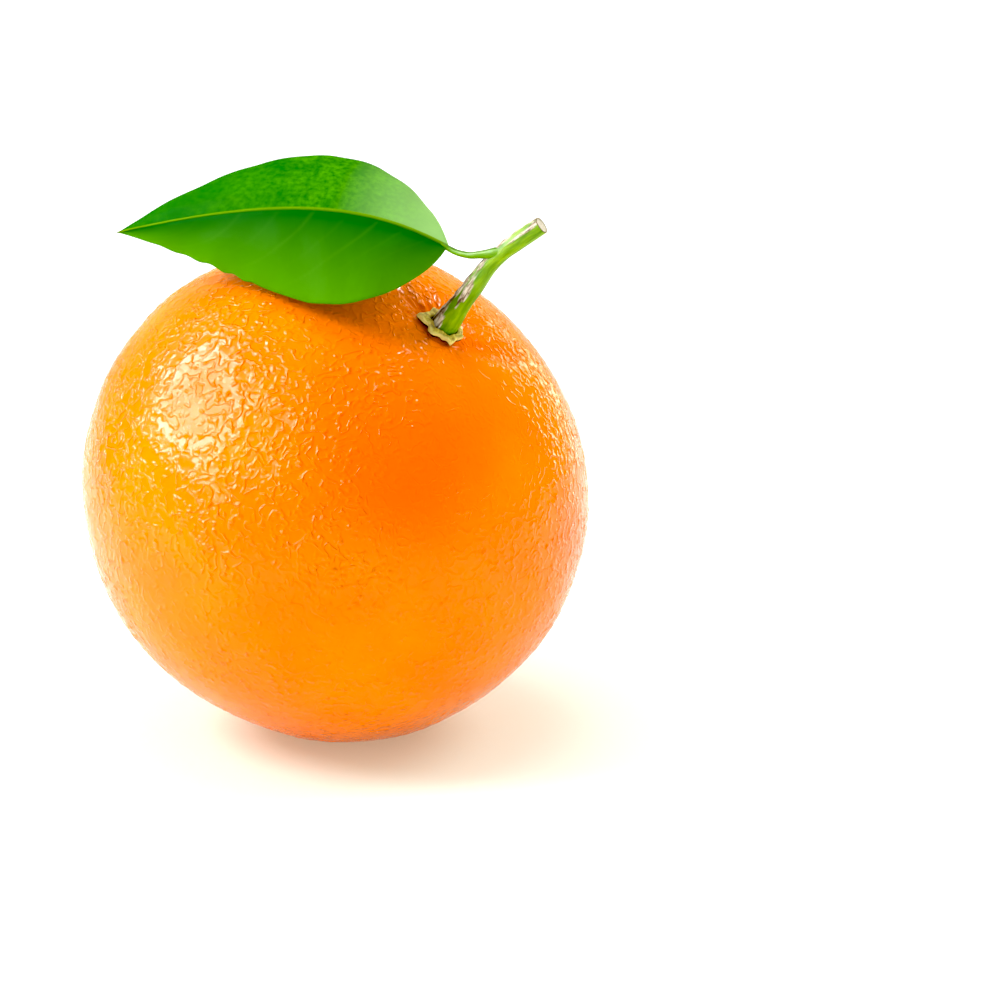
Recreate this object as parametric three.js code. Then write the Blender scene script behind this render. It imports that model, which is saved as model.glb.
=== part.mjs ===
// A sweet orange picked with its twig: the fruit, its calyx, the cut twig, a leaf stalk and one leaf.
// Millimetres, +Z up. The origin is on the small flat that the fruit rests on, straight below the
// fruit's centre. The stem end leans towards +X and -Y, and the leaf reaches out towards -X.

import * as THREE from 'three';
import { mergeVertices } from 'three/addons/utils/BufferGeometryUtils.js';

const { degToRad } = THREE.MathUtils;

// The fruit is a ball a little flattened from stem end to blossom end, lying tilted.
const EQUATOR_RADIUS = 40;
const POLE_RADIUS = 37.5;
const STEM_HOLLOW = { depth: 1.6, spread: 6.5 };
const BLOSSOM_DIMPLE = { depth: 0.9, spread: 5 };
const STEM_AXIS_TILT = degToRad(37.9); // away from straight up
const STEM_AXIS_HEADING = degToRad(-40.4); // from +X towards +Y
const REST_FLAT_DEPTH = 0.45; // how far the peel gives under the fruit's weight
const FRUIT_CELLS = 20; // along each side of the cube that is blown up to the fruit

// Neighbouring pieces that touch in nature stay this far apart.
const GAP = 0.3;

// The calyx is a thick five-lobed star seated in the stem hollow.
const CALYX = { lobes: 5, tipRadius: 3.8, notchRadius: 2.5, rimThickness: 0.8 };
const CALYX_CROWN = { radius: 2.1, innerRadius: 1, height: 1.8 };
const CALYX_SEAT_SHARES = [0.1, 0.6, 1]; // rings across the underside, as shares of the rim's radius
const CALYX_SIDES = 40;

// Every path below starts from the fruit's centre.
// The twig leaves along the fruit's axis and bends towards +X at the leaf's node.
const TWIG_START = POLE_RADIUS + 0.9; // along the fruit's axis
const TWIG_PATH = [
  [21.9, -18.6, 36.0],
  [24.0, -19.8, 39.0],
  [25.9, -20.9, 41.1],
  [28.3, -22.0, 43.1],
  [31.7, -23.2, 45.6],
];
const TWIG_RADIUS = { foot: 1.8, middle: 1.5, cutEnd: 1.3 };
const TWIG_STEPS = 14;
const TWIG_SIDES = 12;

// The leaf stalk hangs in a shallow arc between the node and the blade.
const STALK_PATH = [
  [22.5, -20.1, 40.8],
  [21.1, -19.4, 40.6],
  [19.4, -18.4, 40.8],
  [18.3, -17.7, 41.2],
];
const STALK_RADIUS = { node: 0.75, blade: 0.45 };
const STALK_STEPS = 8;
const STALK_SIDES = 10;

// The blade is folded along its midrib and rolls about it from stalk to tip.
const MIDRIB = [
  [17.8, -17.5, 41.5],
  [4.7, -18.1, 49.0],
  [-9.3, -14.9, 48.2],
  [-32.8, -3.1, 41.4],
];
const BLADE = {
  halfWidth: 14.3,
  baseFullness: 0.59, // a low number makes the blunt end by the stalk blunter
  tipSharpness: 1.05, // a high number draws the tip out longer
  halfWidthAtEnds: 0.35,
  thickness: 0.5,
  facingElevation: degToRad(42.8), // of the upper face, looking towards -Y
  fold: degToRad(18), // of each half, down from the midrib
  roll: degToRad(41.9), // from stalk to tip
};
const BLADE_STEPS = 28;
const BLADE_COLUMNS = 12;

const stemAxis = new THREE.Vector3(
  Math.sin(STEM_AXIS_TILT) * Math.cos(STEM_AXIS_HEADING),
  Math.sin(STEM_AXIS_TILT) * Math.sin(STEM_AXIS_HEADING),
  Math.cos(STEM_AXIS_TILT),
);
const alongStemAxis = new THREE.Quaternion().setFromUnitVectors(new THREE.Vector3(0, 0, 1), stemAxis);
const centreHeight =
  Math.hypot(EQUATOR_RADIUS * Math.sin(STEM_AXIS_TILT), POLE_RADIUS * Math.cos(STEM_AXIS_TILT)) -
  REST_FLAT_DEPTH;

/** How far a dip lowers the peel at this distance from the fruit's own axis. */
function dip({ depth, spread }, fromAxis) {
  return depth * Math.exp(-((fromAxis / spread) ** 2));
}

/** Height of the peel above the fruit's centre along its own axis, at the stem end. */
function peelHeight(fromAxis) {
  return POLE_RADIUS * Math.sqrt(1 - (fromAxis / EQUATOR_RADIUS) ** 2) - dip(STEM_HOLLOW, fromAxis);
}

/** A closed solid through rings of points that run counter-clockwise about the way they travel. */
function loft(rings) {
  const sides = rings[0].length;
  const points = rings.flat();
  const faces = [];
  for (let ring = 0; ring < rings.length - 1; ring++) {
    for (let side = 0; side < sides; side++) {
      const here = ring * sides + side;
      const next = ring * sides + ((side + 1) % sides);
      faces.push(here, next, next + sides, here, next + sides, here + sides);
    }
  }
  const ends = [rings[0], rings[rings.length - 1]];
  const [startCentre, endCentre] = ends.map((ring) => {
    const centre = ring.reduce((sum, point) => sum.add(point), new THREE.Vector3());
    return points.push(centre.divideScalar(sides)) - 1;
  });
  const lastRing = (rings.length - 1) * sides;
  for (let side = 0; side < sides; side++) {
    const next = (side + 1) % sides;
    faces.push(startCentre, next, side, endCentre, lastRing + side, lastRing + next);
  }
  return new THREE.BufferGeometry().setFromPoints(points).setIndex(faces);
}

/** A round rod along a path, with its radius given from 0 at the start to 1 at the end. */
function rod(path, radiusAt, steps, sides) {
  const { normals, binormals } = path.computeFrenetFrames(steps, false);
  const rings = [];
  for (let step = 0; step <= steps; step++) {
    const along = step / steps;
    const centre = path.getPointAt(along);
    rings.push(
      Array.from({ length: sides }, (_, side) => {
        const angle = (2 * Math.PI * side) / sides;
        const radius = radiusAt(along);
        return centre
          .clone()
          .addScaledVector(normals[step], radius * Math.cos(angle))
          .addScaledVector(binormals[step], radius * Math.sin(angle));
      }),
    );
  }
  return loft(rings);
}

/** A smooth path through points given as [x, y, z]. */
function pathThrough(points) {
  return new THREE.CatmullRomCurve3(points.map((point) => new THREE.Vector3(...point)));
}

function fruitGeometry() {
  const cube = new THREE.BoxGeometry(2, 2, 2, FRUIT_CELLS, FRUIT_CELLS, FRUIT_CELLS);
  cube.deleteAttribute('normal');
  cube.deleteAttribute('uv');
  const geometry = mergeVertices(cube);
  const position = geometry.getAttribute('position');
  const radii = new THREE.Vector3(EQUATOR_RADIUS, EQUATOR_RADIUS, POLE_RADIUS);
  // Equal angles along each side of the cube keep the cells nearly alike all over the ball.
  const spread = (value) => Math.tan((value * Math.PI) / 4);
  const point = new THREE.Vector3();
  for (let i = 0; i < position.count; i++) {
    point.fromBufferAttribute(position, i);
    point.set(spread(point.x), spread(point.y), spread(point.z)).normalize().multiply(radii);
    const fromAxis = Math.hypot(point.x, point.y);
    point.z += point.z > 0 ? -dip(STEM_HOLLOW, fromAxis) : dip(BLOSSOM_DIMPLE, fromAxis);
    point.applyQuaternion(alongStemAxis);
    point.z = Math.max(point.z, -centreHeight);
    position.setXYZ(i, point.x, point.y, point.z);
  }
  return geometry;
}

function calyxGeometry() {
  const underside = (fromAxis) => peelHeight(fromAxis) + GAP;
  const crownTop = underside(0) + CALYX_CROWN.height;
  // From the seat's middle out to the rim, up it, and back in over the crown.
  const rows = [
    ...CALYX_SEAT_SHARES.map((share) => ({ share, height: underside })),
    { share: 1, height: (fromAxis) => underside(fromAxis) + CALYX.rimThickness },
    { radius: CALYX_CROWN.radius, height: () => crownTop },
    { radius: CALYX_CROWN.innerRadius, height: () => crownTop },
  ];
  const rings = rows.map(({ share, radius, height }) =>
    Array.from({ length: CALYX_SIDES }, (_, side) => {
      const angle = (2 * Math.PI * side) / CALYX_SIDES;
      const lobe = Math.abs(Math.cos((CALYX.lobes * angle) / 2));
      const rim = THREE.MathUtils.lerp(CALYX.notchRadius, CALYX.tipRadius, lobe);
      const fromAxis = radius ?? share * rim;
      return new THREE.Vector3(fromAxis * Math.cos(angle), fromAxis * Math.sin(angle), height(fromAxis));
    }),
  );
  return loft(rings);
}

function twigGeometry() {
  const foot = stemAxis.clone().multiplyScalar(TWIG_START);
  const { foot: footRadius, middle, cutEnd } = TWIG_RADIUS;
  const radiusAt = (along) =>
    along < 0.5
      ? THREE.MathUtils.lerp(footRadius, middle, 2 * along)
      : THREE.MathUtils.lerp(middle, cutEnd, 2 * along - 1);
  return rod(pathThrough([foot.toArray(), ...TWIG_PATH]), radiusAt, TWIG_STEPS, TWIG_SIDES);
}

function stalkGeometry() {
  const radiusAt = (along) => THREE.MathUtils.lerp(STALK_RADIUS.node, STALK_RADIUS.blade, along);
  return rod(pathThrough(STALK_PATH), radiusAt, STALK_STEPS, STALK_SIDES);
}

/** Half the blade's width, with the share of the way along the midrib from 0 to 1. */
function bladeHalfWidth(along) {
  const { baseFullness, tipSharpness, halfWidth, halfWidthAtEnds } = BLADE;
  const widest = baseFullness / (baseFullness + tipSharpness);
  const fromBase = (along / widest) ** baseFullness;
  const fromTip = ((1 - along) / (1 - widest)) ** tipSharpness;
  return Math.max(halfWidth * fromBase * fromTip, halfWidthAtEnds);
}

function bladeGeometry() {
  const midrib = new THREE.CubicBezierCurve3(...MIDRIB.map((point) => new THREE.Vector3(...point)));
  const facing = new THREE.Vector3(0, -Math.cos(BLADE.facingElevation), Math.sin(BLADE.facingElevation));
  const rings = [];
  for (let step = 0; step <= BLADE_STEPS; step++) {
    const along = step / BLADE_STEPS;
    const centre = midrib.getPoint(along);
    const forward = midrib.getTangent(along);
    const across = new THREE.Vector3().crossVectors(forward, facing).normalize();
    across.applyAxisAngle(forward, -BLADE.roll * (along - 0.5));
    const up = new THREE.Vector3().crossVectors(across, forward);
    const halfWidth = bladeHalfWidth(along);
    const face = (side) =>
      Array.from({ length: BLADE_COLUMNS + 1 }, (_, column) => {
        const out = (2 * column) / BLADE_COLUMNS - 1;
        const droop = halfWidth * out * out * Math.sin(BLADE.fold);
        return centre
          .clone()
          .addScaledVector(across, halfWidth * out * Math.cos(BLADE.fold))
          .addScaledVector(up, (side * BLADE.thickness) / 2 - droop);
      });
    rings.push([...face(1), ...face(-1).reverse()]);
  }
  return loft(rings);
}

/** One named sub-part, placed from the fruit's centre. */
function subPart(name, geometry, color, roughness) {
  geometry.computeVertexNormals();
  const mesh = new THREE.Mesh(geometry, new THREE.MeshStandardMaterial({ color, roughness, metalness: 0 }));
  mesh.name = name;
  return mesh;
}

const fruit = subPart('fruit', fruitGeometry(), '#f88a0c', 0.45);
const calyx = subPart('calyx', calyxGeometry(), '#a3a23c', 0.75);
calyx.quaternion.copy(alongStemAxis);
const twig = subPart('twig', twigGeometry(), '#74b41c', 0.55);
const stalk = subPart('leaf_stalk', stalkGeometry(), '#6cb41e', 0.5);
const blade = subPart('leaf_blade', bladeGeometry(), '#2f9a1c', 0.4);

const group = new THREE.Group();
group.position.z = centreHeight;
group.add(fruit, calyx, twig, stalk, blade);

export default group;
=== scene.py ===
"""A sweet orange picked with its twig, its calyx and one leaf, on a white studio table."""

import math

import bpy
import numpy as np
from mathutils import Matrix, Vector


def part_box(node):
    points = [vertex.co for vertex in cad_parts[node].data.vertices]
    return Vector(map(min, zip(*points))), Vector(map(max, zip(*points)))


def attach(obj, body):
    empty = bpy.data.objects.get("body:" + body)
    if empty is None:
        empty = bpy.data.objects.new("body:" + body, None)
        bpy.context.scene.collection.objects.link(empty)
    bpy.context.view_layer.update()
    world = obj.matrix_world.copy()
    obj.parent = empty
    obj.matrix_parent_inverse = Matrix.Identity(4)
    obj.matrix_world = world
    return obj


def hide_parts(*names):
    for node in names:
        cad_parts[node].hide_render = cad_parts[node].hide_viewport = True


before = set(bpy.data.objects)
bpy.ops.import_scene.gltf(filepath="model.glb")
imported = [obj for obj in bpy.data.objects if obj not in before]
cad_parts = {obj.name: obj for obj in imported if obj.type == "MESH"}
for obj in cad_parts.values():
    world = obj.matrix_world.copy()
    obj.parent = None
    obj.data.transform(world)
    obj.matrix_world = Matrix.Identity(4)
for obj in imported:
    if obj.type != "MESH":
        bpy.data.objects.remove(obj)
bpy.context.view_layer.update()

MM = 0.001

# ---------------------------------------------------------------- the orange's driving sizes, mm

EQUATOR_RADIUS = 40.0
POLE_RADIUS = 37.5
STEM_HOLLOW_DEPTH = 1.6
STEM_HOLLOW_SPREAD = 6.5
BLOSSOM_DIMPLE_DEPTH = 0.9
BLOSSOM_DIMPLE_SPREAD = 5.0
STEM_AXIS_TILT = math.radians(37.9)
STEM_AXIS_HEADING = math.radians(-40.4)

STEM_AXIS = Vector((
    math.sin(STEM_AXIS_TILT) * math.cos(STEM_AXIS_HEADING),
    math.sin(STEM_AXIS_TILT) * math.sin(STEM_AXIS_HEADING),
    math.cos(STEM_AXIS_TILT),
))
UPRIGHT_TO_TILTED = np.array(Vector((0, 0, 1)).rotation_difference(STEM_AXIS).to_matrix())

# The top of a tilted ball of these radii stands this far above its centre.
TOP_ABOVE_CENTRE = math.hypot(
    EQUATOR_RADIUS * math.sin(STEM_AXIS_TILT), POLE_RADIUS * math.cos(STEM_AXIS_TILT)
)
FRUIT_LOW, FRUIT_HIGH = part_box("fruit")
CENTRE = np.array((0, 0, FRUIT_HIGH.z / MM - TOP_ABOVE_CENTRE))


# ---------------------------------------------------------------- small helpers

# Sockets that share their name with others, by number: the share, the two colours and the outcome of
# a mix of colours, and the span that a map range reads and the span that it gives.
SHARE, FIRST, SECOND = 0, 6, 7
COLOURS = {"out": 2, "data_type": "RGBA"}
LOW, HIGH, TO_LOW, TO_HIGH = 1, 2, 3, 4

WAVES_IN_RIPPLES = 16
WAVES_ADD_UP_TO = 5
CURVE_STEPS_BETWEEN_POINTS = 40


def linear(hex_colour):
    """An sRGB hex colour as the linear colour that shaders take."""
    channels = [int(hex_colour[i:i + 2], 16) / 255 for i in (1, 3, 5)]
    return (*[c / 12.92 if c <= 0.04045 else ((c + 0.055) / 1.055) ** 2.4 for c in channels], 1)


def add(tree, kind, links=None, out=0, **settings):
    """Adds a node and gives back one of its outputs, or the node itself when out is None.
    links gives each input, by name or number, a plain value, a hex colour or another node's output."""
    node = tree.nodes.new(kind)
    for name, value in settings.items():
        setattr(node, name, value)
    for name, value in (links or {}).items():
        if isinstance(value, bpy.types.NodeSocket):
            tree.links.new(value, node.inputs[name])
        elif isinstance(value, str) and value.startswith("#"):
            node.inputs[name].default_value = linear(value)
        else:
            node.inputs[name].default_value = value
    return node if out is None else node.outputs[out]


def empty_material(name):
    material = bpy.data.materials.new(name)
    material.use_nodes = True
    material.node_tree.nodes.clear()
    return material, material.node_tree


def smoothstep(low, high, value):
    share = np.clip((value - low) / (high - low), 0, 1)
    return share * share * (3 - 2 * share)


def ripples(points, wavelength, seed):
    """Smooth irregular waviness, mostly between -1 and 1, the same on every run."""
    random = np.random.default_rng(seed)
    ways = random.normal(size=(WAVES_IN_RIPPLES, 3))
    ways /= np.linalg.norm(ways, axis=1)[:, None]
    phases = random.uniform(0, 2 * math.pi, WAVES_IN_RIPPLES)
    return np.cos(points @ ways.T * (2 * math.pi / wavelength) + phases).sum(1) / WAVES_ADD_UP_TO


def grid_faces(rows, columns, closed=False, start=0):
    """Quads over a grid of points kept row by row. closed joins the last column to the first."""
    faces = []
    for row in range(rows - 1):
        for column in range(columns if closed else columns - 1):
            here = start + row * columns + column
            beside = start + row * columns + (column + 1) % columns
            faces.append((here, beside, beside + columns, here + columns))
    return faces


def make_piece(name, points, faces, materials, face_materials=None):
    """A smooth mesh object from points in millimetres in the row frame and lists of corner numbers."""
    mesh = bpy.data.meshes.new(name)
    mesh.from_pydata((np.asarray(points) * MM).tolist(), [], faces)
    mesh.polygons.foreach_set("use_smooth", [True] * len(mesh.polygons))
    for material in materials:
        mesh.materials.append(material)
    if face_materials is not None:
        mesh.polygons.foreach_set("material_index", face_materials)
    piece = bpy.data.objects.new(name, mesh)
    bpy.context.scene.collection.objects.link(piece)
    return piece


def store(piece, name, values):
    """Keeps a number or a vector for each point of a piece, for its material to read."""
    values = np.asarray(values, np.float32)
    vectors = values.ndim == 2
    attribute = piece.data.attributes.new(name, "FLOAT_VECTOR" if vectors else "FLOAT", "POINT")
    attribute.data.foreach_set("vector" if vectors else "value", values.ravel())


def hand_over(piece, cad_node):
    """Puts a finished piece in the place of its CAD node, riding on the fruit."""
    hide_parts(cad_node)
    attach(piece, "root")


def curve_through(points, count):
    """A smooth path through points, and how far along it each step is."""
    points = np.asarray(points, float)
    padded = np.vstack([2 * points[0] - points[1], points, 2 * points[-1] - points[-2]])
    fine = []
    t = np.linspace(0, 1, CURVE_STEPS_BETWEEN_POINTS, endpoint=False)[:, None]
    for a, b, c, d in zip(padded, padded[1:], padded[2:], padded[3:]):
        fine.append(0.5 * (2 * b + (c - a) * t + (2 * a - 5 * b + 4 * c - d) * t**2
                           + (3 * b - a - 3 * c + d) * t**3))
    fine = np.vstack([*fine, points[-1:]])
    walked = np.concatenate([[0], np.cumsum(np.linalg.norm(np.diff(fine, axis=0), axis=1))])
    even = np.linspace(0, walked[-1], count)
    return np.stack([np.interp(even, walked, fine[:, i]) for i in range(3)], 1), even


def carried_sides(path, first_side):
    """Directions along a path, and two directions square to it that turn no more than the path does."""
    forward = np.gradient(path, axis=0)
    forward /= np.linalg.norm(forward, axis=1)[:, None]
    side = np.asarray(first_side, float)
    sides = []
    for direction in forward:
        side = side - direction * (side @ direction)
        side = side / np.linalg.norm(side)
        sides.append(side)
    sides = np.array(sides)
    return forward, sides, np.cross(forward, sides)


# ---------------------------------------------------------------- camera and light

# The eye looks a little down on the fruit, and the fruit sits left of the middle of the picture.
VIEW_ELEVATION = math.radians(14)
EYE_DISTANCE = 480.0
PICTURE_WIDTH_AT_FRUIT = 156.9
FRUIT_LEFT_OF_MIDDLE = 25.65
FRUIT_ABOVE_MIDDLE = 1.43
SENSOR_WIDTH = 36.0

TOWARDS_EYE = np.array((0, -math.cos(VIEW_ELEVATION), math.sin(VIEW_ELEVATION)))
PICTURE_UP = np.array((0, math.sin(VIEW_ELEVATION), math.cos(VIEW_ELEVATION)))

KEY_DIRECTION = (-0.75, -0.17, 0.64)
FLANK_SPARKS = [(-0.40, -0.80, 0.45), (-0.74, -0.63, 0.24), (-0.27, -0.64, 0.72)]
ROOM_FILL = 0.68
WALL_CREAM = "#ffdba7"
WALL_BRIGHTNESS = 1.35
ROOM_DARK = 0.1
# The wall stands behind the fruit. By the cosine between a ray and the way to the eye, it is there in
# full up to the first of these and ends at the second.
WALL_IN_FULL, WALL_ENDS = -0.9, -0.5
BACKDROP_BRIGHTNESS = 1.1
BLACK_POINT = 0.02

TABLE_HALF_SIDE = 3000.0
# The table changes from how it is under the fruit to how it is further out between these distances.
TABLE_CHANGES_FROM, TABLE_CHANGES_TO = 50, 115
GLOW_UNDER_FRUIT, GLOW_FURTHER_OUT = 0.33, 0.62


def make_camera():
    aim = CENTRE + np.array((FRUIT_LEFT_OF_MIDDLE, 0, 0)) - PICTURE_UP * FRUIT_ABOVE_MIDDLE
    data = bpy.data.cameras.new("camera")
    data.sensor_width = SENSOR_WIDTH
    data.lens = SENSOR_WIDTH * EYE_DISTANCE / PICTURE_WIDTH_AT_FRUIT
    camera = bpy.data.objects.new("camera", data)
    camera.location = (aim + TOWARDS_EYE * EYE_DISTANCE) * MM
    camera.rotation_euler = Vector(TOWARDS_EYE).to_track_quat("Z", "Y").to_euler()
    bpy.context.scene.collection.objects.link(camera)
    bpy.context.scene.camera = camera


def softbox(name, direction, distance, width, height, watts, colour="#ffffff", lights=True, shines=True):
    """A rectangular studio light that looks at the fruit from a direction. With crossed polarisers
    a box can be left to light the colours without a shine, or to shine without lighting them."""
    data = bpy.data.lights.new(name, "AREA")
    data.shape = "RECTANGLE"
    data.size = width * MM
    data.size_y = height * MM
    data.energy = watts
    data.color = linear(colour)[:3]
    light = bpy.data.objects.new(name, data)
    direction = Vector(direction).normalized()
    light.location = (Vector(CENTRE) + direction * distance) * MM
    light.rotation_euler = direction.to_track_quat("Z", "Y").to_euler()
    light.visible_camera = False
    light.visible_diffuse = lights
    light.visible_glossy = shines
    bpy.context.scene.collection.objects.link(light)


def light_studio():
    # The main box stands high at the left, and a larger one in its place makes the one broad shine.
    softbox("key_box", KEY_DIRECTION, 420, width=200, height=185, watts=2.05, shines=False)
    softbox("shine_box", KEY_DIRECTION, 420, width=310, height=260, watts=13.5, colour="#fbf6ff",
            lights=False)
    # A tall narrow box behind at the right makes the bright rim.
    softbox("rim_box", (0.55, 0.83, 0.10), 480, width=45, height=400, watts=0.45, colour="#fff4dc")
    # Small ones set sparks: overhead for the shoulder round the stem, and in front for the flank.
    softbox("shoulder_spark", (0.36, 0.24, 0.90), 450, width=64, height=50, watts=0.9, lights=False)
    for number, direction in enumerate(FLANK_SPARKS):
        softbox(f"flank_spark_{number}", direction, 420, width=36, height=30, watts=0.20, lights=False)
    # A box overhead deepens the shadow under the leaf, and another opens up the right shoulder.
    softbox("top_box", (0.05, 0.05, 1.0), 500, width=260, height=240, watts=1.2, shines=False)
    softbox("fill_box", (0.72, 0.30, 0.60), 500, width=260, height=260, watts=1.2, shines=False)
    world = bpy.data.worlds.new("studio")
    world.use_nodes = True
    tree = world.node_tree
    tree.nodes.clear()
    # The room gives an even fill, and what the shiny skin mirrors of it is a cream wall behind the fruit.
    direction = add(tree, "ShaderNodeTexCoord", out="Generated")
    to_front = add(tree, "ShaderNodeVectorMath", {
        0: direction, 1: TOWARDS_EYE,
    }, "Value", operation="DOT_PRODUCT")
    mirrored = add(tree, "ShaderNodeMapRange", {
        "Value": to_front, LOW: WALL_IN_FULL, HIGH: WALL_ENDS,
        TO_LOW: WALL_BRIGHTNESS, TO_HIGH: ROOM_DARK,
    }, interpolation_type="SMOOTHSTEP")
    rays = add(tree, "ShaderNodeLightPath", None, None)
    strength = add(tree, "ShaderNodeMix", {
        "Factor": rays.outputs["Is Glossy Ray"], "A": ROOM_FILL, "B": mirrored,
    })
    paint = add(tree, "ShaderNodeMix", {
        SHARE: rays.outputs["Is Glossy Ray"], FIRST: "#ffffff", SECOND: WALL_CREAM,
    }, **COLOURS)
    room = add(tree, "ShaderNodeBackground", {"Color": paint, "Strength": strength})
    backdrop = add(tree, "ShaderNodeBackground", {"Color": "#ffffff", "Strength": BACKDROP_BRIGHTNESS})
    both = add(tree, "ShaderNodeMixShader", {0: rays.outputs["Is Camera Ray"], 1: room, 2: backdrop})
    add(tree, "ShaderNodeOutputWorld", {"Surface": both}, None)
    bpy.context.scene.world = world
    picture = bpy.context.scene.view_settings
    picture.view_transform = "Standard"
    picture.look = "None"
    # The black point is raised a little, so that the colours come out full.
    picture.use_curve_mapping = True
    picture.curve_mapping.black_level = (BLACK_POINT,) * 3
    picture.curve_mapping.update()


def make_table():
    """A light table far wider than the view: white acrylic with a painted glow, evenly bright further out;
    under the fruit the glow is dimmer and warmer and the sheet darker and greener, a painted shadow
    that comes out warm tan.
    """
    material, tree = empty_material("glowing_white_acrylic")
    place = add(tree, "ShaderNodeTexCoord", out="Object")
    away = add(tree, "ShaderNodeVectorMath", {0: place}, "Value", operation="LENGTH")
    far = add(tree, "ShaderNodeMapRange", {
        "Value": away, LOW: TABLE_CHANGES_FROM * MM, HIGH: TABLE_CHANGES_TO * MM,
    }, interpolation_type="SMOOTHSTEP")
    # Painted shadow: under the fruit the glow is dimmer and warmer and the sheet darker and greener.
    glow_colour = add(tree, "ShaderNodeMix", {SHARE: far, FIRST: "#f4efd2", SECOND: "#ffffff"}, **COLOURS)
    glow_strength = add(tree, "ShaderNodeMapRange", {
        "Value": far, TO_LOW: GLOW_UNDER_FRUIT, TO_HIGH: GLOW_FURTHER_OUT,
    })
    sheet = add(tree, "ShaderNodeMix", {SHARE: far, FIRST: "#cedad4", SECOND: "#e4eae8"}, **COLOURS)
    shader = add(tree, "ShaderNodeBsdfPrincipled", {
        "Base Color": sheet, "Roughness": 0.6, "Specular IOR Level": 0.2,
        "Emission Color": glow_colour, "Emission Strength": glow_strength,
    })
    add(tree, "ShaderNodeOutputMaterial", {"Surface": shader}, None)
    corners = np.array([(-1, -1, 0), (1, -1, 0), (1, 1, 0), (-1, 1, 0)]) * TABLE_HALF_SIDE
    make_piece("table", corners, [(0, 1, 2, 3)], [material])


# ---------------------------------------------------------------- fruit

FRUIT_CELLS = 128
MAP_MARGIN = 0.02

# Furrows run out over the shoulder from under the calyx, deepest on its far side.
FURROW_COUNT = 23
FURROW_WIDTH = 0.58
FURROW_DEPTHS = (0.4, 0.6)
FURROW_LENGTHS = (7, 12)
FURROWS_START = (2.0, 3.6)
FURROW_WANDER = 0.06
WEAKEST_FURROW = 0.25
DEEP_FURROW_BEARING = math.radians(125)
DEEP_FURROW_SPREAD = 0.9
# One wide crease runs out further.
# Its bearing turns as it runs: at the calyx, and at the end of its length.
CREASE_BEARINGS = (math.radians(-28), math.radians(34))
CREASE_LENGTH = 19.0
CREASE_STARTS = (2.0, 4.0)
CREASE_WIDTH = 2.4
CREASE_DEPTH = 0.75

# The fruit is a little lumpy, as if its segments pushed the peel out.
BROAD_LUMP_WIDTH = 34
BROAD_LUMP_HEIGHT = 0.22
SMALL_LUMP_WIDTH = 13
SMALL_LUMP_HEIGHT = 0.07
# Round both ends the lumps fade out between these distances from the stem axis.
LUMPS_FADE = (4, 22)
# The dry scar that the blossom left stands up as a small rough button.
SCAR_EDGE = (0.9, 1.7)
SCAR_HEIGHT = 0.5

# Points of the mesh are drawn this much closer together towards the stem, where most detail is.
CROWDING = 0.3
# The cheek that faces forward and up is a deeper orange: partly a ripening blush, partly painted shade on the
# side away from the key light.
CHEEK = np.array((0.26, -0.85, 0.46))
CHEEK_EDGE = (0.15, 0.62)
CHEEK_EDGE_WAVINESS = 0.15
CHEEK_EDGE_WAVE = 25
# One patch on the front of the shoulder is smoother than the rest.
SMOOTH_PATCH = (math.radians(-62), 19.0)
SMOOTH_PATCH_SPREAD = 0.42
SMOOTH_PATCH_LOSES = 0.6
# How much of the relief there is: on the whole, more or less of it by wide patches, and at the extremes.
RELIEF_ON_THE_WHOLE = 0.95
RELIEF_PATCH_WIDTH = 18
RELIEF_PATCH_CHANGE = 0.3
LEAST_RELIEF, MOST_RELIEF = 0.3, 1.35

PIT_SPACING = 1.2
PIT_BEND = 1.5
PIT_BENDS_PER_MM = 0.55
# The shallowest and the deepest pit, as shares of the usual depth.
PIT_DEPTH_SHARES = (0.35, 1.55)
PIT_RADIUS = 0.38
PIT_DEPTH = 0.20
SHALLOW_PIT_RADIUS = 0.62
SHALLOW_PIT_DEPTH = 0.07
PEBBLE_WIDTH = 1.9
PEBBLE_HEIGHT = 0.08
WRINKLE_WIDTH = 2.1
WRINKLE_DEPTH = 0.15
# Below the first of these heights the wrinkles have this share of their depth, above the second all.
WRINKLES_FADE = (24.0, 46.0)
WRINKLES_BELOW = 0.45

COLOUR_PATCH_WIDTH = 14
WAX_SMUDGE_WIDTH = 5
WELD_DISTANCE = 0.01
# The peel's foot is kept this far above the bottom of its solid.
FOOT_CLEARANCE = 0.02


def cube_sphere(cells):
    """Directions over a sphere laid out as six square grids, their quads, and a flat map of the grids."""
    turn = np.tan(np.linspace(-math.pi / 4, math.pi / 4, cells + 1))
    across, up = np.meshgrid(turn, turn, indexing="ij")
    ones = np.ones_like(across)
    sides = [
        (ones, across, up), (-ones, -across, up), (-across, ones, up),
        (across, -ones, up), (-up, across, ones), (up, across, -ones),
    ]
    span = np.linspace(MAP_MARGIN, 1 - MAP_MARGIN, cells + 1)
    map_across, map_up = np.meshgrid(span, span, indexing="ij")
    directions, quads, places = [], [], []
    for number, side in enumerate(sides):
        points = np.stack(side, -1).reshape(-1, 3)
        directions.append(points / np.linalg.norm(points, axis=1)[:, None])
        quads += grid_faces(cells + 1, cells + 1, start=number * (cells + 1) ** 2)
        place = np.stack([(number % 3 + map_across) / 3, (number // 3 + map_up) / 2], -1)
        places.append(place.reshape(-1, 2))
    return np.vstack(directions), quads, np.vstack(places)


def turned_from(bearing, other):
    """How far one bearing is from another, between minus and plus half a turn."""
    return (bearing - other + math.pi) % (2 * math.pi) - math.pi


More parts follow.
